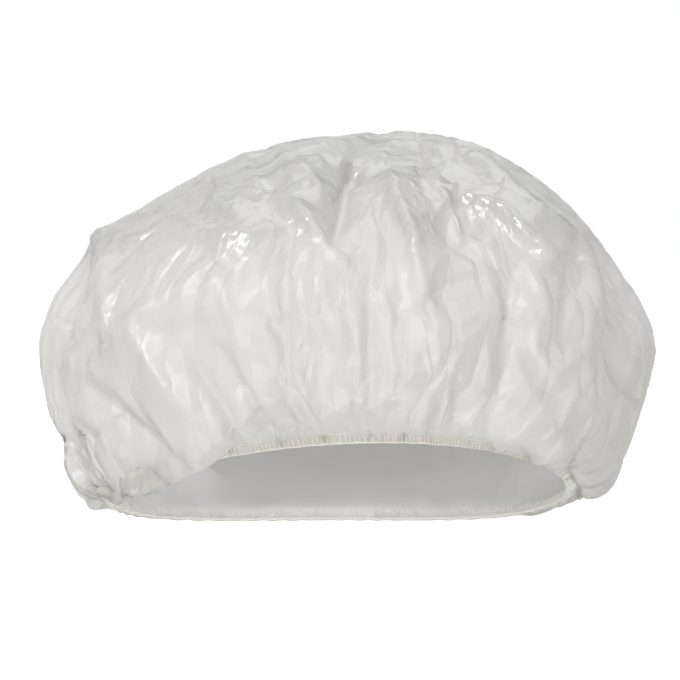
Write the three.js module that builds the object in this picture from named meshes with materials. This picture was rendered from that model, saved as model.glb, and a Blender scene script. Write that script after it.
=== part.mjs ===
// A rinse-free shampoo cap: a bouffant cap of plastic film over an absorbent nonwoven liner.
// Both layers are gathered onto an elastic tape, and overlocked to it round the mouth.
// The cap stands slouched back on the flat patch behind its mouth, with the front hem lifted.
// Millimetres and degrees, +Z up, +X to the wearer's left, front towards -Y.
// The origin is the middle of the cap's outer size, on the surface that it stands on.
import * as THREE from "three";

// Outer size of the film, without its folds
const CAP_WIDTH = 277;
const CAP_DEPTH = 262;
const CAP_HEIGHT = 173;

// Height of the belly, the widest ring of the cap
const BELLY_HEIGHT = { front: 96, left: 82, right: 78, back: 66 };

// The crown's middle, from the middle of the belly
const CROWN_LEAN = 16;
const CROWN_ASIDE = 17;

// How far the wall rises straight from the belly, and stays level from the crown, as shares of the whole
const SHOULDER_LEFT = { rise: 0.44, level: 0.43 };
const SHOULDER_RIGHT = { rise: 0.37, level: 0.44 };

// The mouth: its size, how far it sits in front of the belly's middle, and how its hem rises
const MOUTH_WIDTH = 190;
const MOUTH_DEPTH = 82;
const MOUTH_FORWARD = 81;
const MOUTH_LIFT = 44;
const MOUTH_ROLL = 5;
const LIFT_SHAPE = 1.5;

// How steeply the hem band stands, and how the film and the liner leave it, above the horizontal
const BAND_TILT = { front: 78, left: 38, right: 38, back: 48 };
const FILM_FLARE = { front: 70, left: -35, right: -35, back: -44 };
const LINER_FLARE = { front: 74, left: 60, right: 60, back: 26 };

// How far each layer keeps its direction after the band, and before the belly
const FILM_REACH = { front: 20, left: 20, right: 15, back: 64 };
const LINER_REACH = { front: 16, left: 14, right: 14, back: 46 };
const BELLY_REACH = { front: 30, left: 6, right: 6, back: 58 };

// The bulge of slack film that hangs over the hem at the front left: its place, spread, dip and reach
const BULGE_ANGLE = 230;
const BULGE_SPREAD = 24;
const BULGE_DIP = 76;
const BULGE_REACH = 25;

// Layers. The walls are thicker than real film and nonwoven, so that they are solid bodies.
const FILM_WALL = 0.5;
const LINER_WALL = 0.9;
const LAYER_GAP = 0.45;
const LINER_INSET = { front: 7, left: 18, right: 10, back: 8 };
const CROWN_GAP = 36;

// The elastic tape, and the threads of the overlock seam that holds it
const ELASTIC_WIDTH = 4;
const ELASTIC_THICKNESS = 0.7;
const THREAD_DIAMETER = 0.5;
const STITCHES = 90;

// Gathers that rise from the hem, and creases of the slack crown
const GATHERS = 15;
const FILM_GATHER_DEPTH = { front: 3, left: 5, right: 5, back: 5 };
const LINER_GATHER_DEPTH = { front: 2, left: 3, right: 3, back: 3 };
const CROWN_CREASES = 7;
const CREASE_DEPTH = 4;

// Facets
const AROUND = 60;
const LOWER_RINGS = 4;
const UPPER_RINGS = 4;
const THREAD_SIDES = 5;

// Sizes that follow
const THREAD_RADIUS = THREAD_DIAMETER / 2;
const LAP_HEIGHT = ELASTIC_WIDTH + 2 * LAYER_GAP;
const NEEDLE_HEIGHT = LAP_HEIGHT + LAYER_GAP + THREAD_RADIUS;
const BAND_HEIGHT = NEEDLE_HEIGHT + THREAD_DIAMETER + LAYER_GAP;
const LINER_OFFSET = FILM_WALL + ELASTIC_THICKNESS + 2 * LAYER_GAP;
const BUNDLE = LINER_OFFSET + LINER_WALL;
const THREAD_CLEAR = LAYER_GAP + THREAD_RADIUS;
const MOUTH_FLOOR = LAYER_GAP + Math.SQRT2 * THREAD_CLEAR + THREAD_RADIUS;
const FLOOR_FADE = 14;

const UP = new THREE.Vector3(0, 0, 1);

const smooth = THREE.MathUtils.smoothstep;
const mix = THREE.MathUtils.lerp;
const radians = THREE.MathUtils.degToRad;

// A value given at the left (-X) and the right (+X), at the angle round the cap from +X towards the back.
function across(angle, left, right) {
  return mix(left, right, (1 + Math.cos(angle)) / 2);
}

// A value given at the front, left, right and back.
function around(angle, { front, left, right, back }) {
  const depth = Math.sin(angle);
  return mix(across(angle, left, right), depth < 0 ? front : back, depth * depth);
}

// The share of the bulge at an angle: 1 at its middle, fading to both sides.
function bulge(angle) {
  const away = THREE.MathUtils.euclideanModulo(angle - radians(BULGE_ANGLE) + Math.PI, 2 * Math.PI) - Math.PI;
  return Math.exp(-((away / radians(BULGE_SPREAD)) ** 2));
}

// The edge of the hem, on the film's outer face.
function hemEdge(angle) {
  const frontShare = (1 - Math.sin(angle)) / 2;
  const rise = MOUTH_LIFT * Math.pow(frontShare, LIFT_SHAPE) + MOUTH_ROLL * Math.cos(angle) * frontShare;
  return new THREE.Vector3(
    (MOUTH_WIDTH / 2) * Math.cos(angle),
    (MOUTH_DEPTH / 2) * Math.sin(angle) - MOUTH_FORWARD,
    MOUTH_FLOOR + rise,
  );
}

// Directions at the hem: along it, up its band and out of its outer face.
function hemFrame(angle) {
  const step = 0.001;
  const along = hemEdge(angle + step).sub(hemEdge(angle - step)).normalize();
  const out = new THREE.Vector3().crossVectors(along, UP).normalize();
  const tilt = radians(around(angle, BAND_TILT));
  const up = out.clone().multiplyScalar(Math.cos(tilt)).addScaledVector(UP, Math.sin(tilt));
  up.addScaledVector(along, -up.dot(along)).normalize();
  const normal = new THREE.Vector3().crossVectors(along, up);
  return { edge: hemEdge(angle), out, up, normal };
}

// A point of the hem: that far in behind the film's outer face, and that far up the band.
function hemPoint(angle, depth, rise) {
  const { edge, up, normal } = hemFrame(angle);
  return edge.addScaledVector(normal, -depth).addScaledVector(up, rise);
}

// The belly point of a layer, that far inside the film's.
function bellyPoint(angle, inset) {
  return new THREE.Vector3(
    (CAP_WIDTH / 2 - inset) * Math.cos(angle),
    (CAP_DEPTH / 2 - inset) * Math.sin(angle),
    around(angle, BELLY_HEIGHT),
  );
}

const film = {
  depth: 0,
  wall: FILM_WALL,
  inset: { front: 0, left: 0, right: 0, back: 0 },
  crown: CAP_HEIGHT,
  floor: 0,
  flare: FILM_FLARE,
  reach: FILM_REACH,
  bulgeDip: BULGE_DIP,
  bulgeReach: BULGE_REACH,
  gatherDepth: FILM_GATHER_DEPTH,
  creaseDepth: CREASE_DEPTH,
};
const liner = {
  depth: LINER_OFFSET,
  wall: LINER_WALL,
  inset: LINER_INSET,
  crown: CAP_HEIGHT - CROWN_GAP,
  floor: FILM_WALL + LAYER_GAP,
  flare: LINER_FLARE,
  reach: LINER_REACH,
  bulgeDip: 0,
  bulgeReach: 0,
  gatherDepth: LINER_GATHER_DEPTH,
  creaseDepth: 0,
};

// A layer between its hem band and its belly: a curve that leaves the band at the layer's flare.
function lowerPoint(layer, angle, share) {
  const { out } = hemFrame(angle);
  const flare = radians(around(angle, layer.flare) - layer.bulgeDip * bulge(angle));
  const start = hemPoint(angle, layer.depth, BAND_HEIGHT);
  const belly = bellyPoint(angle, around(angle, layer.inset));
  const reach = around(angle, layer.reach) + layer.bulgeReach * bulge(angle);
  const leaving = out.multiplyScalar(Math.cos(flare)).addScaledVector(UP, Math.sin(flare));
  const first = start.clone().addScaledVector(leaving, reach);
  const second = belly.clone().addScaledVector(UP, -around(angle, BELLY_REACH));
  return new THREE.CubicBezierCurve3(start, first, second, belly).getPoint(share);
}

// A layer between its belly and the crown: a curve that starts upright and ends level at the crown's middle.
function upperPoint(layer, angle, share) {
  const belly = bellyPoint(angle, around(angle, layer.inset));
  const crown = new THREE.Vector3(CROWN_ASIDE, CROWN_LEAN, layer.crown);
  const corner = belly.clone().setZ(layer.crown);
  const first = belly.clone().lerp(corner, across(angle, SHOULDER_LEFT.rise, SHOULDER_RIGHT.rise));
  const second = crown.clone().lerp(corner, across(angle, SHOULDER_LEFT.level, SHOULDER_RIGHT.level));
  return new THREE.CubicBezierCurve3(belly, first, second, crown).getPoint(share);
}

// The way up a layer runs from 0 at the band through 1 at the belly to 2 at the crown.
function smoothPoint(layer, angle, way) {
  return way < 1 ? lowerPoint(layer, angle, way) : upperPoint(layer, angle, way - 1);
}

// How far the folds push the wall out. The two layers are gathered together, so their gathers lie alike.
function foldHeight(layer, angle, way) {
  const gather = Math.cos(GATHERS * angle + 1.4 * Math.sin(3 * angle) + 0.9 * Math.sin(5 * angle + 1));
  const gatherFade = smooth(way, 0, 0.35) * (1 - smooth(way, 0.6, 1.5));
  const crease = Math.cos(CROWN_CREASES * angle + 1.2 * Math.sin(2 * angle));
  const creaseFade = smooth(way, 1, 1.5) * (1 - smooth(way, 1.6, 2));
  return around(angle, layer.gatherDepth) * gather * gatherFade + layer.creaseDepth * crease * creaseFade;
}

// The outer face of a layer, laid flat where it meets the surface that the cap stands on.
function layerPoint(layer, angle, way) {
  const point = smoothPoint(layer, angle, way);
  const lifted = smooth(point.z - layer.floor, 0, FLOOR_FADE);
  const out = bellyPoint(angle, 0).setZ(0).normalize();
  const flat = way > 1 ? Math.cos(((way - 1) * Math.PI) / 2) : 1;
  const push = out.multiplyScalar(flat).addScaledVector(UP, 1 - flat).normalize();
  point.addScaledVector(push, foldHeight(layer, angle, way) * lifted);
  point.z = Math.max(point.z, layer.floor);
  return point;
}

// The stations of a layer's rings, from the band to just under the crown.
function ringStations() {
  const lower = Array.from({ length: LOWER_RINGS }, (_, i) => (i + 1) / (LOWER_RINGS + 1));
  const upper = Array.from({ length: UPPER_RINGS }, (_, i) => 1 + i / UPPER_RINGS);
  return [...lower, ...upper];
}

const ANGLES = Array.from({ length: AROUND }, (_, i) => (i / AROUND) * 2 * Math.PI);

const BAND_RISES = [0, BAND_HEIGHT];

// The rings of the hem band, that far in behind the film's outer face.
function bandRings(depth) {
  return BAND_RISES.map((rise) => ANGLES.map((angle) => hemPoint(angle, depth, rise)));
}

// The rings of a layer's outer face, from the hem's edge up.
function outerRings(layer) {
  const wall = ringStations().map((way) => ANGLES.map((angle) => layerPoint(layer, angle, way)));
  return [...bandRings(layer.depth), ...wall];
}

// The normal at a point of a ring, from its neighbours round and along the layer.
function ringNormal(rings, crown, ring, index) {
  const row = rings[ring];
  const next = row[(index + 1) % AROUND];
  const last = row[(index + AROUND - 1) % AROUND];
  const above = ring + 1 < rings.length ? rings[ring + 1][index] : crown;
  const below = rings[Math.max(ring - 1, 0)][index];
  const round = next.clone().sub(last);
  const along = above.clone().sub(below);
  return round.cross(along).normalize();
}

// The inner face: the outer one moved in by the wall, and kept that far above the surface.
function innerRings(layer, rings, crown) {
  const wall = rings.slice(BAND_RISES.length).map((row, above) =>
    row.map((point, index) => {
      const normal = ringNormal(rings, crown, above + BAND_RISES.length, index);
      const inner = point.clone().addScaledVector(normal, -layer.wall);
      inner.z = Math.max(inner.z, layer.floor + layer.wall);
      return inner;
    }),
  );
  return [...bandRings(layer.depth + layer.wall), ...wall];
}

// Triangles between two neighbouring rings of points, facing out when the second is further along.
function strip(first, second) {
  return first.flatMap((point, i) => {
    const j = (i + 1) % first.length;
    return [[point, first[j], second[j]], [point, second[j], second[i]]];
  });
}

// Triangles between the rings of a face, in order.
function face(rings) {
  return rings.slice(1).flatMap((ring, i) => strip(rings[i], ring));
}

// Triangles that close a ring of points with one middle point.
function fan(ring, middle) {
  return ring.map((point, i) => [point, ring[(i + 1) % ring.length], middle]);
}

// The same triangles, facing the other way.
function turned(triangles) {
  return triangles.map(([first, second, third]) => [third, second, first]);
}

function solid(triangles) {
  const positions = triangles.flat().flatMap((point) => point.toArray());
  const geometry = new THREE.BufferGeometry();
  geometry.setAttribute("position", new THREE.Float32BufferAttribute(positions, 3));
  geometry.computeVertexNormals();
  return geometry;
}

// A closed thin shell: the outer face, the inner face turned round, and the hem's edge between them.
function shell(layer) {
  const crown = new THREE.Vector3(CROWN_ASIDE, CROWN_LEAN, layer.crown);
  const outer = outerRings(layer);
  const inner = innerRings(layer, outer, crown);
  const innerCrown = crown.clone().addScaledVector(UP, -layer.wall);
  const outside = [...face(outer), ...fan(outer.at(-1), crown)];
  const inside = [...face(inner), ...fan(inner.at(-1), innerCrown)];
  return solid([...outside, ...turned(inside), ...strip(inner[0], outer[0])]);
}

// The elastic tape: a flat loop between the two layers, inside the hem band.
function elasticLoop() {
  const outside = FILM_WALL + LAYER_GAP;
  const inside = outside + ELASTIC_THICKNESS;
  const rises = [LAYER_GAP, LAYER_GAP + ELASTIC_WIDTH];
  const ring = (depth, rise) => ANGLES.map((angle) => hemPoint(angle, depth, rise));
  const outer = rises.map((rise) => ring(outside, rise));
  const inner = rises.map((rise) => ring(inside, rise));
  const edges = [...strip(inner[0], outer[0]), ...strip(outer[1], inner[1])];
  return solid([...face(outer), ...turned(face(inner)), ...edges]);
}

// A point of the hem on the straight facets between two angles of the rings.
function facetPoint(turn, depth, rise) {
  const place = turn * AROUND;
  const index = Math.floor(place);
  const [start, end] = [index, index + 1].map((i) => hemPoint((i / AROUND) * 2 * Math.PI, depth, rise));
  return start.lerp(end, place - index);
}

// The seam starts and ends at the back of the hem, a quarter of a turn from +X.
const SEAM_START = 0.25;

// The looper thread: one thread that laps the hem's edge, from the outer face to the inner one and back.
function looperPath() {
  const outside = -THREAD_CLEAR;
  const inside = BUNDLE + THREAD_CLEAR;
  const top = LAP_HEIGHT - THREAD_RADIUS;
  const lap = [[outside, top], [outside, -THREAD_CLEAR], [inside, -THREAD_CLEAR], [inside, top]];
  const points = [];
  for (let stitch = 0; stitch < STITCHES; stitch += 1) {
    const turn = SEAM_START + (stitch + 0.5) / STITCHES;
    const way = stitch % 2 ? [...lap].reverse() : lap;
    way.forEach(([depth, rise]) => points.push(facetPoint(turn, depth, rise)));
  }
  return points;
}

// The needle thread: the line that runs round the outer face, above the laps.
function needlePath() {
  return Array.from({ length: AROUND }, (_, i) =>
    facetPoint(SEAM_START + i / AROUND, -THREAD_CLEAR, NEEDLE_HEIGHT),
  );
}

// The rings of a tube along points. The section keeps its turn from point to point, and is mitred there.
function tubeRings(points) {
  const steps = points.slice(1).map((point, i) => point.clone().sub(points[i]).normalize());
  const side = new THREE.Vector3().crossVectors(steps[0], UP);
  return points.map((point, i) => {
    const into = steps[Math.max(i - 1, 0)];
    const outOf = steps[Math.min(i, steps.length - 1)];
    const mitre = into.clone().add(outOf).normalize();
    side.addScaledVector(into, -side.dot(into)).normalize();
    const other = new THREE.Vector3().crossVectors(into, side);
    return Array.from({ length: THREAD_SIDES }, (_, k) => {
      const turn = ((k + 0.5) / THREAD_SIDES) * 2 * Math.PI;
      const spoke = side.clone().multiplyScalar(Math.cos(turn)).addScaledVector(other, Math.sin(turn));
      spoke.multiplyScalar(THREAD_RADIUS);
      return point.clone().add(spoke.addScaledVector(into, -spoke.dot(mitre) / into.dot(mitre)));
    });
  });
}

// A tube of thread along points, with closed ends.
function tube(points) {
  const rings = tubeRings(points);
  const start = turned(fan(rings[0], points[0]));
  const end = fan(rings.at(-1), points.at(-1));
  return solid([...start, ...face(rings), ...end]);
}

// The least gap between stretches of a thread that aren't neighbours, measured on points along it.
function leastGap(points, skipped) {
  let least = Infinity;
  points.forEach((point, i) => {
    for (let j = i + skipped; j < points.length; j += 1) least = Math.min(least, point.distanceTo(points[j]));
  });
  return least - THREAD_DIAMETER;
}

const filmPlastic = new THREE.MeshStandardMaterial({
  color: 0xe6e6e4,
  roughness: 0.3,
  metalness: 0,
  transparent: true,
  opacity: 0.7,
});
const nonwoven = new THREE.MeshStandardMaterial({ color: 0xeceae4, roughness: 0.95, metalness: 0 });
const elasticRubber = new THREE.MeshStandardMaterial({ color: 0xe9e5da, roughness: 0.7, metalness: 0 });
const threadYarn = new THREE.MeshStandardMaterial({ color: 0xece6d8, roughness: 0.85, metalness: 0 });

const cap = new THREE.Group();

function add(name, geometry, material) {
  const mesh = new THREE.Mesh(geometry, material);
  mesh.name = name;
  cap.add(mesh);
}

const looper = looperPath();
const needle = needlePath();
add("outer_film", shell(film), filmPlastic);
add("absorbent_liner", shell(liner), nonwoven);
add("hem_elastic", elasticLoop(), elasticRubber);
add("looper_thread", tube(looper), threadYarn);
add("needle_thread", tube(needle), threadYarn);

const LAP_POINTS = 4;
console.log(`looper thread, least gap to itself: ${leastGap(looper, LAP_POINTS).toFixed(2)} mm`);
console.log(`needle thread, least gap to itself: ${leastGap(needle, 2).toFixed(2)} mm`);

// The origin is the middle of the outer size, on the surface.
const size = new THREE.Box3().setFromObject(cap);
const middle = size.getCenter(new THREE.Vector3());
cap.children.forEach((mesh) => mesh.position.set(-middle.x, -middle.y, -size.min.z));

export default cap;
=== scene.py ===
# %% [markdown]
# # A rinse-free shampoo cap
# This lesson dresses the solid model of a shampoo cap. The real cap is two round sheets, a plastic film and
# an absorbent nonwoven, gathered together onto an elastic tape by an overlock seam.
# The solids give the sizes, the place and the collision. Here each of them gets its look.

import math

import bmesh
import bpy
import numpy as np
from mathutils import Matrix, Vector
from mathutils.kdtree import KDTree


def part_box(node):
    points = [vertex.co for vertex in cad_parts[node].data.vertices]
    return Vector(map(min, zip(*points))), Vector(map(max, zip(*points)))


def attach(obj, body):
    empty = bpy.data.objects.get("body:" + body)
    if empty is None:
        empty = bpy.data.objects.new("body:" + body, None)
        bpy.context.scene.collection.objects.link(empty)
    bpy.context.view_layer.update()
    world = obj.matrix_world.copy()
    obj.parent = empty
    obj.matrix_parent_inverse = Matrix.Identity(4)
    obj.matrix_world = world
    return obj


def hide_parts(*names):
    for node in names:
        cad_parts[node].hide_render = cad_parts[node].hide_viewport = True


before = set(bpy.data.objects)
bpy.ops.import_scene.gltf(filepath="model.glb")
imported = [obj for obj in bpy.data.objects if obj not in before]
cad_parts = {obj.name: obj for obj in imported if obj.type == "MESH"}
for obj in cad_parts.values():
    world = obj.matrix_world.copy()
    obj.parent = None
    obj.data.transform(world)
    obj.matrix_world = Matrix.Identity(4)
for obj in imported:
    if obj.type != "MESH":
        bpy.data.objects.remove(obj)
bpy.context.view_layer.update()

# %% [markdown]
# ## Sizes
# The sizes repeat those of the solids, in metres, so that every sheet lies where its solid is.
# Values that change round the cap are given at its front, sides and back, and angles are in degrees.

# %% Sizes of the cap
MM = 0.001
CAP_WIDTH, CAP_DEPTH, CAP_HEIGHT = 277 * MM, 262 * MM, 173 * MM
BELLY_HEIGHT = dict(front=96 * MM, left=82 * MM, right=78 * MM, back=66 * MM)
CROWN_LEAN, CROWN_ASIDE = 16 * MM, 17 * MM
SHOULDER_LEFT, SHOULDER_RIGHT = (0.44, 0.43), (0.37, 0.44)
MOUTH_WIDTH, MOUTH_DEPTH, MOUTH_FORWARD = 190 * MM, 82 * MM, 81 * MM
MOUTH_LIFT, MOUTH_ROLL, LIFT_SHAPE, MOUTH_FLOOR = 44 * MM, 5 * MM, 1.5, 1.7 * MM
BAND_HEIGHT = 6.6 * MM
BAND_TILT = dict(front=78, left=38, right=38, back=48)
print("mouth, metres:", MOUTH_WIDTH, "by", MOUTH_DEPTH)

# %% [markdown]
# ## The camera
# The camera comes first, because the main folds of the film are placed as they are seen from it.
# A long lens close to level shows the cap as a product picture does, with little perspective.

# %% Camera at the viewing angle
LENS, AWAY, ELEVATION = 100, 0.86, math.radians(4)
AIM = np.array([0.0, 0.0, 77.7]) * MM
FORWARD = np.array([0.0, math.cos(ELEVATION), -math.sin(ELEVATION)])
RAISED = np.array([0.0, math.sin(ELEVATION), math.cos(ELEVATION)])
EYE = AIM - FORWARD * AWAY

camera = bpy.data.cameras.new("camera")
camera.lens = LENS
view = bpy.data.objects.new("camera", camera)
view.location = EYE
view.rotation_euler = (math.pi / 2 - ELEVATION, 0, 0)
bpy.context.collection.objects.link(view)
bpy.context.scene.camera = view


def seen(points):
    """Where points are seen, in metres from the picture's middle, at the distance of the cap's middle."""
    scale = AWAY / ((points - EYE) @ FORWARD)
    return np.stack([(points[:, 0] - AIM[0]) * scale, ((points - AIM) @ RAISED) * scale], axis=-1)


print("camera at", EYE.round(3))

# %% [markdown]
# ## The hem
# The elastic pulls the mouth into a long oval, which rises at the front so that the lining shows.
# A hem is easiest to sew onto if every point of it knows three directions: along it, up its band and out
# of its face. With those, thread, tape and sheets can all be placed by how deep and how high they lie.
# The gathered layers also ripple a little along the band.


# %% Directions along the hem
def across(angle, left, right):
    return left + (right - left) * (1 + np.cos(angle)) / 2


def around(angle, front, left, right, back):
    depth = np.sin(angle)
    side = across(angle, left, right)
    return side + (np.where(depth < 0, front, back) - side) * depth * depth


def smooth(value, low, high):
    share = np.clip((value - low) / (high - low), 0, 1)
    return share * share * (3 - 2 * share)


def unit(vectors):
    return vectors / np.linalg.norm(vectors, axis=-1, keepdims=True)


def hem_edge(angle):
    front_share = (1 - np.sin(angle)) / 2
    rise = MOUTH_LIFT * front_share**LIFT_SHAPE + MOUTH_ROLL * np.cos(angle) * front_share
    x = MOUTH_WIDTH / 2 * np.cos(angle)
    y = MOUTH_DEPTH / 2 * np.sin(angle) - MOUTH_FORWARD
    return np.stack([x, y, MOUTH_FLOOR + rise], axis=-1)


UP = np.array([0.0, 0.0, 1.0])
RIPPLE = 0.35 * MM


def hem_frame(angle):
    along = unit(hem_edge(angle + 0.001) - hem_edge(angle - 0.001))
    out = unit(np.cross(along, UP))
    tilt = np.radians(around(angle, **BAND_TILT))[..., None]
    up = out * np.cos(tilt) + UP * np.sin(tilt)
    up = unit(up - along * np.sum(up * along, axis=-1, keepdims=True))
    return out, up, np.cross(along, up)


def hem_point(angle, depth, rise):
    out, up, normal = hem_frame(angle)
    ripple = RIPPLE * np.sin(61 * angle + 3 * np.sin(4 * angle)) * np.sin(7 * angle + 1)
    inwards = np.asarray(depth + ripple)[..., None]
    return hem_edge(angle) - normal * inwards + up * np.asarray(rise)[..., None]


turn = np.linspace(0, 2 * math.pi, 721)
hem_gone = np.append(0, np.linalg.norm(np.diff(hem_edge(turn), axis=0), axis=1).cumsum())
print("hem, relaxed, metres round:", hem_gone[-1].round(3))

# %% [markdown]
# ## The shape of a layer
# A layer leaves the hem at its own angle, swells to the belly and closes over the crown. Each of the two
# stretches is a cubic curve. At the front left the film bulges down in front of the hem.
# Each way up the cap is then measured, so that a point of the flat sheet can be put at its true distance
# from the hem.

# %% Ways up a layer
FILM = dict(
    depth=0.0,
    inset=dict(front=0, left=0, right=0, back=0),
    crown=CAP_HEIGHT,
    floor=0.25 * MM,
    flare=dict(front=70, left=-45, right=-70, back=-44),
    reach=dict(front=20 * MM, left=18 * MM, right=19 * MM, back=64 * MM),
    bulge_dip=96,
    bulge_reach=28 * MM,
    gather=dict(front=1.5 * MM, left=5 * MM, right=5 * MM, back=5 * MM),
    crease=4 * MM,
)
LINER = dict(
    depth=2.1 * MM,
    inset=dict(front=7 * MM, left=18 * MM, right=10 * MM, back=8 * MM),
    crown=CAP_HEIGHT - 36 * MM,
    floor=1.6 * MM,
    flare=dict(front=74, left=60, right=60, back=26),
    reach=dict(front=16 * MM, left=14 * MM, right=14 * MM, back=46 * MM),
    bulge_dip=0,
    bulge_reach=0,
    gather=dict(front=2 * MM, left=3 * MM, right=3 * MM, back=3 * MM),
    crease=0,
)
BELLY_REACH = dict(front=30 * MM, left=6 * MM, right=6 * MM, back=58 * MM)
BULGE_ANGLE, BULGE_SPREAD = math.radians(226), math.radians(30)
GATHERS, CROWN_CREASES, FLOOR_FADE = 15, 7, 14 * MM


def bulge(angle):
    away = np.mod(angle - BULGE_ANGLE + math.pi, 2 * math.pi) - math.pi
    return np.exp(-((away / BULGE_SPREAD) ** 2))


def belly_point(angle, inset):
    cos, sin = np.cos(angle), np.sin(angle)
    inset = around(angle, **inset)
    x = (CAP_WIDTH / 2 - inset) * cos
    y = (CAP_DEPTH / 2 - inset) * sin
    return np.stack([x, y, around(angle, **BELLY_HEIGHT)], axis=-1)


def cubic(start, first, second, end, share):
    rest = 1 - share
    return rest**3 * start + 3 * rest**2 * share * first + 3 * rest * share**2 * second + share**3 * end


def lower_way(layer, angle, share):
    out = hem_frame(angle)[0]
    flare = np.radians(around(angle, **layer["flare"]) - layer["bulge_dip"] * bulge(angle))[..., None]
    reach = around(angle, **layer["reach"]) + layer["bulge_reach"] * bulge(angle)
    start = hem_point(angle, layer["depth"], BAND_HEIGHT)
    belly = belly_point(angle, layer["inset"])
    leaving = out * np.cos(flare) + UP * np.sin(flare)
    second = belly - UP * around(angle, **BELLY_REACH)[..., None]
    return cubic(start, start + leaving * reach[..., None], second, belly, share)


def upper_way(layer, angle, share):
    belly = belly_point(angle, layer["inset"])
    crown = np.array([CROWN_ASIDE, CROWN_LEAN, layer["crown"]])
    low, high = (across(angle, left, right)[..., None] for left, right in zip(SHOULDER_LEFT, SHOULDER_RIGHT))
    level = np.broadcast_to(crown[2], belly[..., 2:].shape)
    corner = np.concatenate([belly[..., :2], level], axis=-1)
    return cubic(belly, belly + (corner - belly) * low, crown + (corner - crown) * high, crown, share)


def big_folds(layer, angle, way):
    """How far the main gathers and creases push a layer out. The way is 1 at the belly and 2 at the crown."""
    gather = np.cos(GATHERS * angle + 1.4 * np.sin(3 * angle) + 0.9 * np.sin(5 * angle + 1))
    crease = np.cos(CROWN_CREASES * angle + 1.2 * np.sin(2 * angle))
    gathered = smooth(way, 0, 0.35) * (1 - smooth(way, 0.6, 1.5))
    creased = smooth(way, 1, 1.5) * (1 - smooth(way, 1.6, 2))
    return around(angle, **layer["gather"]) * gather * gathered + layer["crease"] * crease * creased


def folded_way(layer, angle, way):
    points = lower_way(layer, angle, way) if way < 1 else upper_way(layer, angle, way - 1)
    level = math.cos(max(way - 1, 0) * math.pi / 2)
    push = unit(unit(belly_point(angle, FILM["inset"]) * (1, 1, 0)) * level + UP * (1 - level))
    lifted = smooth(points[:, 2] - layer["floor"], 0, FLOOR_FADE)
    points = points + push * (big_folds(layer, angle, way) * lifted)[:, None]
    points[:, 2] = np.maximum(points[:, 2], layer["floor"])
    return points


WAYS, STEPS = 720, 240


def measured_ways(layer):
    angles = np.arange(WAYS) / WAYS * 2 * math.pi
    points = [hem_point(angles, layer["depth"], rise) for rise in np.linspace(0, BAND_HEIGHT, 6)]
    points += [folded_way(layer, angles, way) for way in np.linspace(0, 2, 140)[1:]]
    points = np.stack(points)
    gone = np.zeros(points.shape[:2])
    gone[1:] = np.linalg.norm(np.diff(points, axis=0), axis=2).cumsum(axis=0)
    even = np.empty((STEPS + 1, WAYS, 3))
    for way in range(WAYS):
        at = np.linspace(0, gone[-1, way], STEPS + 1)
        for axis in range(3):
            even[:, way, axis] = np.interp(at, gone[:, way], points[:, way, axis])
    return even, gone[-1]


def on_layer(ways, angle, share):
    step = np.clip(share, 0, 1) * STEPS
    way = np.mod(angle, 2 * math.pi) / (2 * math.pi) * WAYS
    i, j = np.minimum(step.astype(int), STEPS - 1), way.astype(int) % WAYS
    k = (j + 1) % WAYS
    u, v = (step - i)[:, None], (way - way.astype(int))[:, None]
    low = ways[i, j] * (1 - v) + ways[i, k] * v
    high = ways[i + 1, j] * (1 - v) + ways[i + 1, k] * v
    return low * (1 - u) + high * u


film_ways, film_lengths = measured_ways(FILM)
liner_ways, liner_lengths = measured_ways(LINER)
print("film, hem to crown, metres:", film_lengths.min().round(3), "to", film_lengths.max().round(3))
print("liner, hem to crown, metres:", liner_lengths.min().round(3), "to", liner_lengths.max().round(3))

# %% [markdown]
# ## A round sheet
# Both layers are cut as discs and gathered into a ball that is open at the bottom. An icosphere with its
# bottom cut off has the same layout, with small even triangles, so that folds can form anywhere.
# Each point then has an angle round the cap and a share of the way from the hem to the crown.
# The angles crowd together at the front, where the finest folds are seen.


# %% Cut a sheet and put it on the cap
SHEET_TURN = math.radians(125)
FINER_FRONT = 0.35


def cut_sheet(name, subdivisions):
    bm = bmesh.new()
    bmesh.ops.create_icosphere(bm, subdivisions=subdivisions, radius=1.0)
    whole = bm.verts[:] + bm.edges[:] + bm.faces[:]
    level = (0, 0, math.cos(SHEET_TURN))
    bmesh.ops.bisect_plane(bm, geom=whole, dist=0.004, plane_co=level, plane_no=(0, 0, -1), clear_outer=True)
    mesh = bpy.data.meshes.new(name)
    bm.to_mesh(mesh)
    bm.free()
    mesh.shade_smooth()
    piece = bpy.data.objects.new(name, mesh)
    bpy.context.collection.objects.link(piece)
    return piece


def points_of(mesh):
    flat = np.empty(len(mesh.vertices) * 3)
    mesh.vertices.foreach_get("co", flat)
    return flat.reshape(-1, 3)


def set_points(piece, points):
    piece.data.vertices.foreach_set("co", np.ascontiguousarray(points).ravel())
    piece.data.update()


def places(piece):
    ball = points_of(piece.data)
    down = np.arctan2(np.hypot(ball[:, 0], ball[:, 1]), ball[:, 2])
    angle = np.arctan2(ball[:, 1], ball[:, 0])
    return angle - FINER_FRONT * np.cos(angle), 1 - down / SHEET_TURN


def faces_out(ways, angle, share):
    nudge = 0.01
    round_ = on_layer(ways, angle + nudge, share) - on_layer(ways, angle - nudge, share)
    up = on_layer(ways, angle, share + nudge) - on_layer(ways, angle, share - nudge)
    normal = np.cross(round_, up)
    length = np.linalg.norm(normal, axis=1, keepdims=True)
    return np.where(length > 1e-9, normal / np.maximum(length, 1e-9), UP)


print("a sheet is a ball cut at", round(math.degrees(SHEET_TURN)), "degrees from its crown")

# %% [markdown]
# ## Gathers
# A gathered hem is never regular. Short pleats start at every stitch, some of them join into folds, and a few
# folds run far up the cap. So each size of fold is scattered round the hem with its own chance place, lean,
# length and depth, from a seeded generator that gives the same folds every time.

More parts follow.
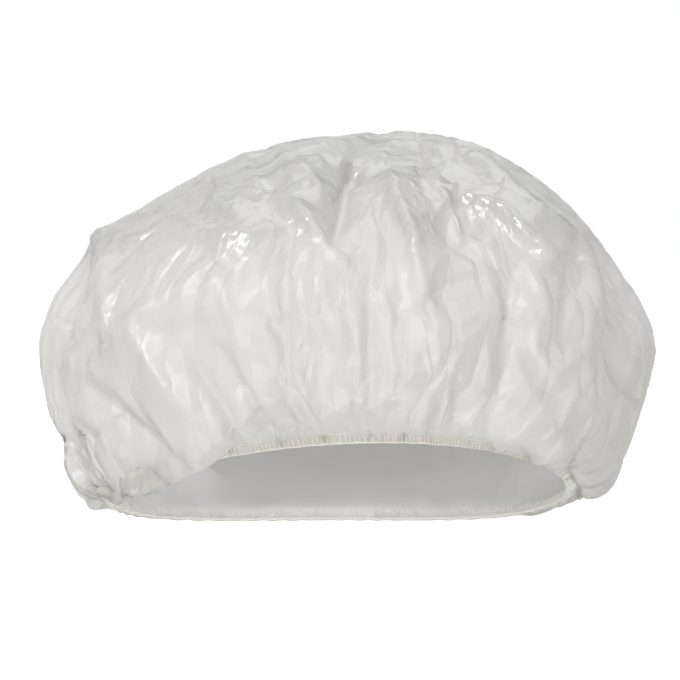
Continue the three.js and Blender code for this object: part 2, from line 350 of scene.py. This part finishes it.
# %% Scatter folds round the hem
SEED = 23
chance = np.random.default_rng(SEED)


def gathers(angle, share, count, length, depth):
    """The height of folds that rise from the hem, fading out at about that share of the way up."""
    height = np.zeros(len(angle))
    for place in (np.arange(count) + chance.uniform(-0.4, 0.4, count)) / count * 2 * math.pi:
        lean = chance.uniform(-0.35, 0.35)
        end = length * chance.uniform(0.5, 1.4)
        deep = depth * chance.uniform(0.3, 1.2) * chance.choice([1, -1])
        half = chance.uniform(0.22, 0.4) * 2 * math.pi / count
        away = np.mod(angle - place - lean * share + math.pi, 2 * math.pi) - math.pi
        fade = smooth(share, 0.009, 0.018 + end * 0.08) * (1 - smooth(share, end * 0.4, end))
        height += deep * fade * np.exp(-np.abs(away / half) ** 1.5)
    return height


print("folds are scattered from seed", SEED)

# %% [markdown]
# ## The absorbent liner
# The liner is soft nonwoven that keeps close to the head. Its pleats at the hem are small, and at the rear
# left it sags inwards in one lobe, near the hem.

# %% The liner
LOBE_ANGLE, LOBE_SPREAD, LOBE_DEPTH = math.radians(134), math.radians(11), 11 * MM
LOBE_UP, LOBE_LENGTH = 0.07, 0.035
liner = cut_sheet("liner_nonwoven", 6)
angle, share = places(liner)
folds = gathers(angle, share, count=52, length=0.16, depth=1.6 * MM)
off_lobe = np.mod(angle - LOBE_ANGLE + math.pi, 2 * math.pi) - math.pi
lobe = np.exp(-((off_lobe / LOBE_SPREAD) ** 2) - ((share - LOBE_UP) / LOBE_LENGTH) ** 2)
folds -= LOBE_DEPTH * lobe
points = on_layer(liner_ways, angle, share) + faces_out(liner_ways, angle, share) * folds[:, None]
points[:, 2] = np.maximum(points[:, 2], LINER["floor"])
set_points(liner, points)
print("liner made with", len(points), "points")

# %% [markdown]
# ## Folds of the film
# The film's own folds give the cap its face: the flat left shoulder, the ridges that fan out from the crown,
# the crumpled hollow at the right, and the soft valleys that run down to the hem. Each is a stroke as seen
# from the front, in millimetres from the picture's middle, with a height, a half width and a skew that
# steepens one flank. A negative height is a valley.

# %% Strokes of the front
FRONT_FOLDS = [
    (5, 11, 0.0, [(-111, 49), (-97, 43), (-86, 46), (-75, 54), (-64, 47), (-48, 45), (-34, 48), (-26, 54)]),
    (3, 9, 0.0, [(-111, 49), (-107, 36), (-105, 18), (-103, 0)]),
    (-4, 13, 0.0, [(-91, 58), (-71, 61), (-49, 54)]),
    (3, 4.5, 0.0, [(-58, 76), (-53, 61), (-43, 57)]),
    (1.5, 3, 0.0, [(-50, 66), (-38, 61)]),
    (2, 4.5, 0.0, [(-48, 83), (-26, 86), (-2, 90)]),
    (-4, 10, 0.0, [(-37, 71), (-23, 76)]),
    (4.5, 6, 0.3, [(-31, 65), (-20, 61), (-6, 43), (4, 33)]),
    (2, 4, 0.0, [(-18, 80), (-10, 71), (-8, 61)]),
    (-6, 7, 0.0, [(6, 83), (3, 68), (-1, 52), (-3, 41)]),
    (-5, 5, 0.0, [(7, 84), (9, 75)]),
    (2, 4.5, 0.0, [(13, 81), (24, 87), (35, 89)]),
    (7, 9, 0.45, [(22, 75), (25, 59), (32, 46), (34, 33), (39, 22)]),
    (1.2, 3, 0.0, [(8, 50), (20, 70)]),
    (-9, 17, 0.0, [(45, 58), (54, 52), (63, 57)]),
    (6, 9, 0.0, [(35, 82), (51, 84), (64, 79), (80, 63), (107, 41), (112, 29), (119, 4)]),
    (3.5, 4, 0.0, [(45, 68), (51, 61), (59, 51), (68, 44)]),
    (4, 4.5, 0.0, [(50, 69), (72, 59), (86, 44), (98, 33)]),
    (1.5, 3, 0.0, [(86, 44), (93, 36), (97, 39), (101, 31)]),
    (-6, 6, 0.3, [(79, 36), (77, 14), (73, -15), (71, -26)]),
    (2, 4, 0.0, [(87, 39), (91, 23), (94, 9)]),
    (-6, 8, -0.3, [(126, 19), (127, -2), (128, -23)]),
    (-4, 5, 0.3, [(14, 35), (13, -1), (14, -42)]),
    (-4, 6, 0.3, [(26, 29), (27, -1), (26, -33)]),
    (-4.5, 6, 0.0, [(-24, 53), (-24, 23), (-24, -4), (-21, -43)]),
    (-3, 5, 0.0, [(-36, 18), (-30, 7), (-24, -2)]),
    (-2.5, 6, 0.0, [(-58, 0), (-45, -18), (-31, -41)]),
    (3, 7, 0.0, [(-54, 29), (-47, 9), (-41, -18)]),
    (3, 8, 0.0, [(-95, 14), (-81, -18), (-71, -34)]),
    (-4, 5, 0.0, [(-65, -10), (-52, -32), (-44, -48)]),
    (-3, 6, 0.0, [(56, -6), (52, -27), (50, -42)]),
    (-2.5, 5, 0.0, [(69, -20), (67, -44)]),
    (-2, 4, 0.0, [(102, 34), (102, -1), (100, -25)]),
    (-6, 6, 0.0, [(-112, -17), (-92, -36), (-75, -56), (-68, -62)]),
    (3, 8, 0.0, [(-110, -33), (-97, -51), (-79, -61)]),
    (-4, 7, 0.0, [(-127, -42), (-116, -44), (-104, -41)]),
    (-2, 3, 0.0, [(-131, 17), (-122, -1)]),
    (-2, 3, 0.0, [(-122, -1), (-113, 12)]),
    (-1.5, 3, 0.0, [(-129, 18), (-107, 25)]),
    (-2, 4, 0.0, [(-122, -1), (-104, 2)]),
]


def stroke_height(places_seen, rise, half, skew, way, blunt):
    """The height of one fold at places of the front view."""
    way = np.array(way) * MM
    gone = np.append(0, np.linalg.norm(np.diff(way, axis=0), axis=1).cumsum())
    at = np.linspace(0, gone[-1], 40)
    line = np.stack([np.interp(at, gone, way[:, axis]) for axis in (0, 1)], axis=-1)
    for _ in range(4):
        line[1:-1] = (line[:-2] + 2 * line[1:-1] + line[2:]) / 4
    along = unit(np.gradient(line, axis=0))
    apart = places_seen[:, None] - line[None]
    distance = np.linalg.norm(apart, axis=2)
    near = distance.argmin(axis=1)
    each = np.arange(len(near))
    distance, apart = distance[each, near], apart[each, near]
    side = np.sign(along[near, 0] * apart[:, 1] - along[near, 1] * apart[:, 0])
    width = half * MM * (1 + skew * side)
    crest = np.exp(-(np.sqrt(distance**2 + blunt**2) - blunt) / width)
    place = near / (len(line) - 1)
    taper = 0.25 + 0.75 * np.sin(math.pi * np.clip(place, 0, 1)) ** 0.6
    return rise * MM * taper * crest


def front_folds(points, out, narrow=1.0, blunt=0.8 * MM):
    """The height of all the strokes on the part of the film that faces the camera."""
    height = np.zeros(len(points))
    facing = smooth(-out @ FORWARD, -0.05, 0.3)
    shown = facing > 0
    where = seen(points[shown])
    for rise, half, skew, way in FRONT_FOLDS:
        height[shown] += stroke_height(where, rise, half * narrow, skew, way, blunt)
    return height * facing


print("front folds:", len(FRONT_FOLDS))

# %% [markdown]
# ## The film at its start
# The film starts on its measured ways, with its pleats and strokes pushed out along its face. The simulation
# that follows puffs it out, more on some sides than on others, so the start lies that much further in.

# %% The film
PUFF = dict(front=4 * MM, left=7 * MM, right=0, back=4 * MM)
film = cut_sheet("film_cap", 7)
angle, share = places(film)
out = faces_out(film_ways, angle, share)
inwards = around(angle, **PUFF) * smooth(share, 0.03, 0.12) * (1 - bulge(angle))
base = on_layer(film_ways, angle, share) - out * inwards[:, None]
folds = gathers(angle, share, count=62, length=0.12, depth=2.2 * MM)
folds += gathers(angle, share, count=34, length=0.24, depth=2.8 * MM)
folds *= smooth(base[:, 2], 0.0, FLOOR_FADE)
folds += front_folds(base, out) * smooth(share, 0.01, 0.05)
points = base + out * folds[:, None]
points[:, 2] = np.maximum(points[:, 2], FILM["floor"])
set_points(film, points)
print("film made with", len(points), "points")

# %% [markdown]
# ## Gathered film
# The film is a flat disc. Wrapped over a head it is too wide all round, more so towards the hem, and the
# spare width buckles into the folds. A short cloth simulation does the same. The sheet's rest shape is the
# disc, with its spare width held to what the mesh can fold, and with none at the bulge, which is smooth.
# Every point is held softly near its start, so that the main folds stay.

# %% The film as it was cut
HELD, HELD_CROWN, HELD_BULGE = 0.06, 0.12, 0.1
MOST_GATHERED, LEAST_GATHERED, SLACK = 1.3, 0.98, 0.02


def cut_shape(ways, lengths, most):
    """The ways of a layer in its flat cut, drawn in where it is gathered more than the mesh can fold."""
    step = 2 * math.pi / WAYS
    towards = belly_point(np.arange(WAYS) * step, FILM["inset"])[:, :2] - (CROWN_ASIDE, CROWN_LEAN)
    heading = np.unwrap(np.arctan2(towards[:, 1], towards[:, 0]))
    heading_rate = (np.append(heading[1:], heading[0] + 2 * math.pi) - heading) / step
    along = unit(np.gradient(ways, axis=0))
    across = (np.roll(ways, -1, axis=1) - np.roll(ways, 1, axis=1)) / (2 * step)
    across -= along * np.sum(across * along, axis=2, keepdims=True)
    width = np.linalg.norm(across, axis=2) / heading_rate
    radius = np.minimum(np.linspace(1, 0, STEPS + 1)[:, None] * lengths, most * width)
    for _ in range(30):
        radius[1:-1] = (radius[:-2] + 2 * radius[1:-1] + radius[2:]) / 4
    fall = np.sqrt(np.maximum((lengths / STEPS) ** 2 - np.diff(radius, axis=0) ** 2, 0))
    height = np.zeros_like(radius)
    height[:-1] = -fall[::-1].cumsum(axis=0)[::-1]
    return np.stack([radius * np.cos(heading), radius * np.sin(heading), height], axis=-1)


most = MOST_GATHERED - (MOST_GATHERED - LEAST_GATHERED) * bulge(np.arange(WAYS) / WAYS * 2 * math.pi)
cut = on_layer(cut_shape(film_ways, film_lengths, most), angle, share)
print("film as cut, metres:", np.ptp(cut, axis=0).round(3))

# %% [markdown]
# ## Letting the film gather
# A cloth modifier runs for a few frames, its result is read off and the modifier is removed, so the finished
# mesh is plain. The hem is held firmly, because it is sewn. The liner and the surface below stop the film.

# %% Let the film gather
SETTLING_FRAMES = 25


def weight_group(piece, name, weights):
    group = piece.vertex_groups.new(name=name)
    for index, weight in enumerate(weights):
        group.add([index], float(weight), "REPLACE")
    return group


def crumple(piece, wall, frames, cut):
    """The points of a sheet after its spare width has buckled against a wall and the surface below."""
    mesh = bpy.data.meshes.new("surface")
    bm = bmesh.new()
    bmesh.ops.create_grid(bm, x_segments=1, y_segments=1, size=0.5)
    bmesh.ops.translate(bm, verts=bm.verts, vec=(0, 0, -0.5 * MM))
    bm.to_mesh(mesh)
    bm.free()
    surface = bpy.data.objects.new("surface", mesh)
    bpy.context.collection.objects.link(surface)
    for body, gap in ((wall, 1.5 * MM), (surface, 0.5 * MM)):
        body.modifiers.new("stop", "COLLISION")
        body.collision.thickness_outer = gap
    piece.shape_key_add(name="start")
    flat = piece.shape_key_add(name="cut")
    flat.data.foreach_set("co", np.ascontiguousarray(cut).ravel())
    cloth = piece.modifiers.new("crumple", "CLOTH")
    springs = cloth.settings
    springs.rest_shape_key = flat
    springs.quality = 6
    springs.mass = 0.0003
    springs.tension_stiffness = springs.compression_stiffness = 15
    springs.shear_stiffness = 8
    springs.bending_stiffness = 0.05
    springs.tension_damping = springs.compression_damping = springs.shear_damping = 5
    springs.bending_damping = 0.5
    springs.air_damping = 2
    springs.vertex_group_mass = "held"
    springs.pin_stiffness = 1
    springs.shrink_min = -SLACK
    springs.effector_weights.gravity = 0.05
    cloth.collision_settings.distance_min = 1 * MM
    cloth.collision_settings.collision_quality = 2
    cloth.point_cache.frame_end = frames
    for number in range(1, frames + 1):
        bpy.context.scene.frame_set(number)
    settled = piece.evaluated_get(bpy.context.evaluated_depsgraph_get())
    result = points_of(settled.data)
    piece.modifiers.remove(cloth)
    piece.shape_key_clear()
    wall.modifiers.remove(wall.modifiers["stop"])
    bpy.data.objects.remove(surface)
    bpy.context.scene.frame_set(1)
    return result


held = HELD + (HELD_CROWN - HELD) * smooth(share, 0.6, 0.85)
held += HELD_BULGE * bulge(angle) * (1 - smooth(share, 0.15, 0.3))
weight_group(film, "held", np.where(share < 0.012, 1.0, held))
crumpled = crumple(film, liner, SETTLING_FRAMES, cut)
print("film moved at most", np.linalg.norm(crumpled - points, axis=1).max().round(4), "m")
set_points(film, crumpled)

# %% [markdown]
# ## Creases
# Cloth springs round off a fold. Film keeps a sharp line where it was folded in its packet, so a narrow part
# of each stroke is pressed in again after the simulation.

# %% Press the creases
CREASE_SHARE, CREASE_WIDTH, CREASE_BLUNT = 0.4, 0.35, 0.3 * MM
normals = np.empty(len(points) * 3)
film.data.vertices.foreach_get("normal", normals)
creases = front_folds(base, out, CREASE_WIDTH, CREASE_BLUNT) * CREASE_SHARE * smooth(share, 0.02, 0.06)
set_points(film, points_of(film.data) + normals.reshape(-1, 3) * creases[:, None])
print("creases pressed at most", np.abs(creases).max().round(4), "m")

# %% [markdown]
# ## How far the film is from the liner
# A tree of the liner's points finds the nearest one to each point of the film.

# %% Distance from the liner
liner_points = points_of(liner.data)
tree = KDTree(len(liner_points))
for index, point in enumerate(liner_points):
    tree.insert(point, index)
tree.balance()


def from_liner(points):
    return np.array([tree.find(point)[2] for point in points])


print("liner points in the tree:", len(liner_points))

# %% [markdown]
# ## Walls, backing and painted shade
# Both sheets get a thin wall. The film also keeps a measure of how close the liner lies behind it, counted as
# close everywhere low down. The film's colour is painted from it, warm white where backed and grey where
# free, as painted light and shade. It keeps painted shade for dark pockets at the hem, too, and each point's
# place on the gathered hem.

# %% Thickness, and what the film keeps at its points
FILM_WALL, LINER_WALL = 0.3 * MM, 0.7 * MM
SHADE_POCKETS, PLEAT_LENGTH = 30, 0.3


def wall(piece, thickness):
    solid = piece.modifiers.new("wall", "SOLIDIFY")
    solid.thickness = thickness
    solid.offset = -1
    solid.use_rim = True



apart = from_liner(points_of(film.data))
# Painted light and shade: this measure also sets the film's colour, warm white where the liner is close and
# everywhere low down, grey where the film stands free.
backing_and_shade = film.data.attributes.new("backing_and_shade", "FLOAT", "POINT")
low_down = 1 - smooth(points_of(film.data)[:, 2], 55 * MM, 90 * MM)
backing_and_shade.data.foreach_set("value", np.maximum(1 - smooth(apart, 9 * MM, 24 * MM), low_down))
# Painted shade: dark pockets at random places along the hem band, darkening only the film's colour.
pocket_shades = np.zeros(len(share))
for place in (np.arange(SHADE_POCKETS) + chance.uniform(-0.35, 0.35, SHADE_POCKETS)) / SHADE_POCKETS * 2 * math.pi:
    away = np.mod(angle - place + math.pi, 2 * math.pi) - math.pi
    width = chance.uniform(0.006, 0.02)
    pocket_shades = np.maximum(pocket_shades, chance.uniform(0.4, 1.0) * np.exp(-((away / width) ** 2)))
pocket_shades *= smooth(share, 0.002, 0.006) * (1 - smooth(share, 0.014, 0.024))
pleats = film.data.attributes.new("pleats", "FLOAT_VECTOR", "POINT")
rolled = np.stack([np.cos(angle), np.sin(angle), PLEAT_LENGTH * share], axis=-1)
pleats.data.foreach_set("vector", rolled.ravel())
pocket_shade = film.data.attributes.new("pocket_shade", "FLOAT", "POINT")
pocket_shade.data.foreach_set("value", pocket_shades)
wall(film, FILM_WALL)
wall(liner, LINER_WALL)
print("film lies", apart.min().round(4), "to", apart.max().round(4), "m from the liner")

# %% [markdown]
# ## The overlock seam
# An overlock machine wraps the raw edge in thread. On the face the laps look like fine teeth, and at the edge
# the loops lock into a smooth cord. One long path makes all the laps: down the outer face, round the edge,
# up the inner face and through to the next. Their spacing and height are uneven, as the stretched elastic
# leaves them when it relaxes.

# %% Thread along a path
SEAM_TURN = math.pi / 2
STITCH_PITCH, LAP_TOP = 0.92 * MM, 3.6 * MM
THREAD_RADIUS, CORD_RADIUS = 0.16 * MM, 0.8 * MM
BUNDLE = LINER["depth"] + LINER_WALL
EDGE_STEPS = 400


def thread(name, points, radius, closed):
    """A round thread along points, as a mesh with four sides."""
    curve = bpy.data.curves.new(name, "CURVE")
    curve.dimensions = "3D"
    curve.bevel_depth = radius
    curve.bevel_resolution = 0
    curve.use_fill_caps = not closed
    spline = curve.splines.new("POLY")
    spline.points.add(len(points) - 1)
    spline.points.foreach_set("co", np.column_stack([points, np.ones(len(points))]).ravel())
    spline.use_cyclic_u = closed
    loose = bpy.data.objects.new(name + "_path", curve)
    bpy.context.collection.objects.link(loose)
    mesh = bpy.data.meshes.new_from_object(loose.evaluated_get(bpy.context.evaluated_depsgraph_get()))
    bpy.data.objects.remove(loose)
    mesh.shade_smooth()
    piece = bpy.data.objects.new(name, mesh)
    bpy.context.collection.objects.link(piece)
    return piece


def hem_angle(gone):
    """The angle round the hem at a length along it, starting at the back."""
    return SEAM_TURN + np.interp(gone % hem_gone[-1], hem_gone, turn)


print("hem bundle, metres thick:", round(BUNDLE, 4))

# %% [markdown]
# ## Laps, cord and needle line
# Each lap is a few points in the hem's own directions, so one list of depths and rises makes them all.

# %% Looper laps, edge cord and needle line
laps = int(hem_gone[-1] / STITCH_PITCH)
at = (np.arange(laps) + chance.uniform(-0.3, 0.3, laps)) * STITCH_PITCH
tops = LAP_TOP * (1 + 0.12 * np.sin(at * 900) * np.sin(at * 210 + 1) + chance.uniform(-0.1, 0.1, laps))
LAP_DOWN = [(-0.3, 1.0, 0.0), (-0.4, 0.5, 0.1), (-0.35, 0.05, 0.2), (1.4, -0.17, 0.3)]
LAP_UP = [(3.1, 0.05, 0.4), (3.2, 0.5, 0.6), (3.1, 1.0, 0.8)]
lap_points = [
    hem_point(hem_angle(at + STITCH_PITCH * on), depth * MM, tops * high)
    for depth, high, on in LAP_DOWN + LAP_UP
]
looper = thread("looper_laps", np.stack(lap_points, axis=1).reshape(-1, 3), THREAD_RADIUS, False)
edge_turn = np.linspace(0, 2 * math.pi, EDGE_STEPS, endpoint=False)
edge = hem_point(edge_turn, BUNDLE / 2, np.full(EDGE_STEPS, -0.2 * MM))
edge_cord = thread("looper_edge", edge, CORD_RADIUS, True)
steps = np.arange(0, hem_gone[-1], STITCH_PITCH)
weave = np.where(np.arange(len(steps)) % 2, -0.35, -0.15) * MM
needle_points = hem_point(hem_angle(steps), weave, np.full(len(steps), LAP_TOP + 0.35 * MM))
needle = thread("needle_line", needle_points, THREAD_RADIUS, True)
print("overlock laps:", laps)

# %% [markdown]
# ## The elastic
# The tape lies between the layers, so only its thickness shows, as the firm band of the hem.

# %% Elastic tape
TAPE_TURNS = 240
tape_turn = np.linspace(0, 2 * math.pi, TAPE_TURNS, endpoint=False)
section = [(0.8, 0.6), (1.0, 0.45), (1.7, 0.45), (1.8, 0.6), (1.8, 4.3), (1.7, 4.45), (1.0, 4.45), (0.8, 4.3)]
bm = bmesh.new()
rings = []
for depth, rise in section:
    ring = hem_point(tape_turn, depth * MM, np.full(TAPE_TURNS, rise * MM))
    rings.append([bm.verts.new(point) for point in ring])
for ring, other in zip(rings, rings[1:] + rings[:1]):
    for i in range(TAPE_TURNS):
        j = (i + 1) % TAPE_TURNS
        bm.faces.new((ring[i], ring[j], other[j], other[i]))
bmesh.ops.recalc_face_normals(bm, faces=bm.faces)
tape_mesh = bpy.data.meshes.new("elastic_tape")
bm.to_mesh(tape_mesh)
bm.free()
tape_mesh.shade_smooth()
tape = bpy.data.objects.new("elastic_tape", tape_mesh)
bpy.context.collection.objects.link(tape)
print("elastic tape of", len(tape_mesh.polygons), "faces")

# %% [markdown]
# ## Shader maths
# A small class wraps a socket, so that sums on it add Math nodes and one method adds any other node.


# %% Sockets that take part in sums
class Shade:
    """A socket of a material. Arithmetic on it adds Math nodes, and node() adds any other."""

    def __init__(self, tree, socket=None):
        self.tree = tree
        self.socket = socket

    def node(self, kind, settings=None, sockets=None, output=0):
        made = self.tree.nodes.new("ShaderNode" + kind)
        for name, value in (settings or {}).items():
            if name == "stops":
                ramp = made.color_ramp.elements
                for element, (place, grey) in zip(ramp, value):
                    element.position = place
                    element.color = (grey, grey, grey, 1)
            else:
                setattr(made, name, value)
        for name, value in (sockets or {}).items():
            if isinstance(value, Shade):
                self.tree.links.new(value.socket, made.inputs[name])
            else:
                made.inputs[name].default_value = value
        return Shade(self.tree, made.outputs[output] if made.outputs else None)

    def math(self, operation, first, second):
        return self.node("Math", {"operation": operation}, {0: first, 1: second})

    def __add__(self, other):
        return self.math("ADD", self, other)

    __radd__ = __add__

    def __sub__(self, other):
        return self.math("SUBTRACT", self, other)

    def __rsub__(self, other):
        return self.math("SUBTRACT", other, self)

    def __mul__(self, other):
        return self.math("MULTIPLY", self, other)

    __rmul__ = __mul__


def material(name):
    """A new material and an empty socket on its node tree."""
    made = bpy.data.materials.new(name)
    made.use_nodes = True
    made.node_tree.nodes.clear()
    return made, Shade(made.node_tree)


def surface(start, shader):
    start.node("OutputMaterial", sockets={"Surface": shader})


def blend(start, share, first, second):
    return start.node("Mix", {"data_type": "RGBA"}, {0: share, 6: first, 7: second}, output=2)


def mixed(start, share, first, second):
    return start.node("MixShader", sockets={0: share, 1: first, 2: second})


def sheet_surface(start, look):
    """A thin wall scatters light once, where the light enters it, and lets it leave freely."""
    leaving = start.node("NewGeometry", output=6)
    surface(start, mixed(start, leaving, look, start.node("BsdfTransparent")))


print("shader helpers ready")

# %% [markdown]
# ## Milky film
# The film is thin milky plastic. A part of the light is scattered back, a part passes through and is spread,
# and a little goes straight on, so the liner shows behind it. Its colour carries painted light and shade:
# warm white where the liner lies close behind and low down, grey where the film stands free over the dark
# inside, and a painted shade in pockets at the hem. The crown is glossy, and the lower film, which rubs on
# the liner, is satin.

# %% Film material
# Painted light and shade: free film is tinted grey, backed film warm white, and the hem's pockets dark.
FREE_PAINTED_SHADE, BACKED_PAINTED_LIGHT, POCKET_PAINTED_SHADE = (0.49, 0.485, 0.475, 1), (0.66, 0.635, 0.59, 1), (0.2, 0.18, 0.15, 1)
PASSING = (0.98, 0.98, 0.97, 1)
film_look, start = material("milky_film")
place = start.node("TexCoord", output=3)
backed_shade = start.node("Attribute", {"attribute_name": "backing_and_shade"}, output=2)
pocket_shade = start.node("Attribute", {"attribute_name": "pocket_shade"}, output=2)
wander = start.node("TexNoise", sockets={"Vector": place, "Scale": 30.0, "Detail": 2.0}, output=1)
moved = start.node("VectorMath", {"operation": "MULTIPLY_ADD"}, {0: wander, 1: (0.02, 0.02, 0.02), 2: place})
long = start.node("VectorMath", {"operation": "MULTIPLY"}, {0: moved, 1: (1.0, 1.0, 0.6)})
facet = {"feature": "DISTANCE_TO_EDGE"}
facets = start.node("TexVoronoi", facet, {"Vector": long, "Scale": 24.0})
small = start.node("TexVoronoi", facet, {"Vector": long, "Scale": 95.0})
grain = start.node("TexNoise", sockets={"Vector": place, "Scale": 260.0, "Detail": 2.0})
pleated = start.node("Attribute", {"attribute_name": "pleats"}, output=1)
pleat_up = start.node("SeparateXYZ", sockets={0: pleated}, output=2)
fan = start.node("TexNoise", sockets={"Vector": pleated, "Scale": 18.0, "Detail": 1.0, "Roughness": 0.4})
low_down = start.node("MapRange", sockets={0: pleat_up, 1: 0.01, 2: 0.09, 3: 0.3, 4: 0.0})
bent = start.node("VectorMath", {"operation": "MULTIPLY_ADD"}, {0: wander, 1: (0.12, 0.12, 0.06), 2: pleated})
drape = start.node("TexVoronoi", facet, {"Vector": bent, "Scale": 11.0})
crinkle = (1.4 * facets + 0.25 * small) * (1.0 - 0.8 * backed_shade) + 0.05 * grain
height = crinkle + fan * low_down + drape * (0.65 * backed_shade)
bump = start.node("Bump", sockets={"Height": height, "Strength": 1.0, "Distance": 0.005})
# Painted light and shade: the film's colour is grey where it stands free and warm white where the liner is
# close behind.
painted_tint = blend(start, backed_shade, FREE_PAINTED_SHADE, BACKED_PAINTED_LIGHT)
# Painted shade: dark pockets at the hem darken the film's colour.
painted_tint = blend(start, pocket_shade, painted_tint, POCKET_PAINTED_SHADE)
milk = start.node(
    "BsdfPrincipled",
    sockets={"Base Color": painted_tint, "Roughness": 0.18 + 0.26 * backed_shade, "IOR": 1.75, "Normal": bump},
)
spread = start.node("BsdfTranslucent", sockets={"Color": PASSING, "Normal": bump})
clear = start.node("BsdfTransparent", sockets={"Color": PASSING})
sheet_surface(start, mixed(start, 0.3 + 0.2 * backed_shade, milk, mixed(start, 0.45, spread, clear)))
film.data.materials.append(film_look)
print("film material of", len(film_look.node_tree.nodes), "nodes")

# %% [markdown]
# ## Nonwoven
# Spunlace nonwoven is a web of fine fibres, thicker in some places than in others, which gives it clouds.

# %% Nonwoven material
liner_look, start = material("nonwoven")
place = start.node("TexCoord", output=3)
clouds = start.node("TexNoise", sockets={"Vector": place, "Scale": 75.0, "Detail": 5.0, "Roughness": 0.62})
fibres = start.node("TexNoise", sockets={"Vector": place, "Scale": 900.0, "Detail": 3.0, "Distortion": 2.0})
bump = start.node("Bump", sockets={"Height": clouds + 0.5 * fibres, "Strength": 0.35, "Distance": 0.001})
web = blend(start, 1.5 * clouds - 0.25, (0.9, 0.9, 0.9, 1), (0.99, 0.99, 0.99, 1))
felt = start.node("BsdfPrincipled", sockets={"Base Color": web, "Roughness": 0.95, "Normal": bump})
spread = start.node("BsdfTranslucent", sockets={"Color": (0.975, 0.98, 0.99, 1)})
sheet_surface(start, mixed(start, 0.95 - 0.3 * clouds, felt, spread))
liner.data.materials.append(liner_look)
print("nonwoven material of", len(liner_look.node_tree.nodes), "nodes")

# %% [markdown]
# ## Thread and elastic
# The thread is spun polyester, off-white and matt, with a fuzz of fibres. The tape is knitted round rubber.

# %% Thread and tape materials
thread_look, start = material("spun_thread")
place = start.node("TexCoord", output=3)
fuzz = start.node("TexNoise", sockets={"Vector": place, "Scale": 1800.0, "Detail": 2.0})
bump = start.node("Bump", sockets={"Height": fuzz, "Strength": 0.4, "Distance": 0.0002})
yarn = blend(start, fuzz, (0.8, 0.77, 0.7, 1), (0.93, 0.91, 0.86, 1))
surface(start, start.node("BsdfPrincipled", sockets={"Base Color": yarn, "Roughness": 0.8, "Normal": bump}))
tape_look, start = material("knitted_elastic")
place = start.node("TexCoord", output=3)
knit = start.node("TexNoise", sockets={"Vector": place, "Scale": 1200.0})
bump = start.node("Bump", sockets={"Height": knit, "Strength": 0.5, "Distance": 0.0003})
knitted = blend(start, knit, (0.74, 0.72, 0.67, 1), (0.9, 0.88, 0.83, 1))
woven = {"Base Color": knitted, "Roughness": 0.7, "Normal": bump}
surface(start, start.node("BsdfPrincipled", sockets=woven))
for piece in (looper, edge_cord, needle):
    piece.data.materials.append(thread_look)
tape.data.materials.append(tape_look)
print("materials:", [made.name for made in (film_look, liner_look, thread_look, tape_look)])

# %% [markdown]
# ## What stands for what
# The solids are centred on their outer size, folds included, so every piece moves to where its solid is, and
# the camera with them. Then each rides on the cap's one body and stands for its solid.
# The sheets are declared as discs that their folds can fill. A real disc, as long as the ways over the cap,
# is about a tenth larger: its finest gathers are only drawn on the film, and left out of the liner.

# %% Move, ride and replace
low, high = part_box("hem_elastic")
tape_points = points_of(tape.data)
shift = (low + high) / 2 - Vector((tape_points.min(axis=0) + tape_points.max(axis=0)) / 2)
shift.z = 0
view.location += shift
print("moved by", [round(value / MM, 2) for value in shift], "mm")
for piece, node, finish in (
    (film, "outer_film", "film"),
    (liner, "absorbent_liner", "nonwoven"),
    (tape, "hem_elastic", "elastic"),
    (looper, "looper_thread", "thread"),
    (edge_cord, "looper_thread", "thread"),
    (needle, "needle_thread", "thread"),
):
    piece.data.transform(Matrix.Translation(shift))
    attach(piece, "root")
    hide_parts(node)

# %% [markdown]
# ## Studio
# The cap stands on a plain pale surface, under soft light from the front and above. The background is white
# for the camera and for reflections, and lights the cap at a plain level. Light that goes into the mouth has
# crossed many clear walls, so the path tracer may pass more of them than by default.

# %% Floor, world and lamps
bm = bmesh.new()
bmesh.ops.create_grid(bm, x_segments=1, y_segments=1, size=3)
floor_mesh = bpy.data.meshes.new("floor")
bm.to_mesh(floor_mesh)
bm.free()
floor = bpy.data.objects.new("floor", floor_mesh)
bpy.context.collection.objects.link(floor)
floor_look, start = material("pale_floor")
ray = start.node("LightPath", output=0)
glow = blend(start, ray, (0, 0, 0, 1), (0.8, 0.8, 0.8, 1))
pale = {"Base Color": (0.85, 0.85, 0.85, 1), "Roughness": 0.9}
pale.update({"Emission Color": glow, "Emission Strength": 1.0})
surface(start, start.node("BsdfPrincipled", sockets=pale))
floor.data.materials.append(floor_look)

SKY = 0.28
world = bpy.data.worlds.new("studio")
bpy.context.scene.world = world
world.use_nodes = True
world.node_tree.nodes.clear()
start = Shade(world.node_tree)
camera_ray = start.node("LightPath", output=0)
glossy_ray = start.node("LightPath", output=3)
through_ray = start.node("LightPath", output=6)
bright = start.math("MINIMUM", camera_ray + glossy_ray + through_ray, 1.0)
sky = start.node("Background", sockets={"Color": (1, 1, 1, 1), "Strength": SKY + (1 - SKY) * bright})
start.node("OutputWorld", sockets={"Surface": sky})


def lamp(name, place, size, power):
    light = bpy.data.lights.new(name, "AREA")
    light.size = size
    light.energy = power
    ob = bpy.data.objects.new(name, light)
    ob.location = place
    ob.rotation_euler = (Vector(AIM) - Vector(place)).to_track_quat("-Z", "Y").to_euler()
    bpy.context.collection.objects.link(ob)


lamp("key", (-1.0, -1.1, 1.9), size=0.5, power=28)
lamp("top", (0.3, 0.5, 2.0), size=1.6, power=12)
lamp("front", (0.2, -2.4, 0.06), size=0.6, power=36)
bpy.context.scene.view_settings.view_transform = "Standard"
bpy.context.scene.cycles.transparent_max_bounces = 32
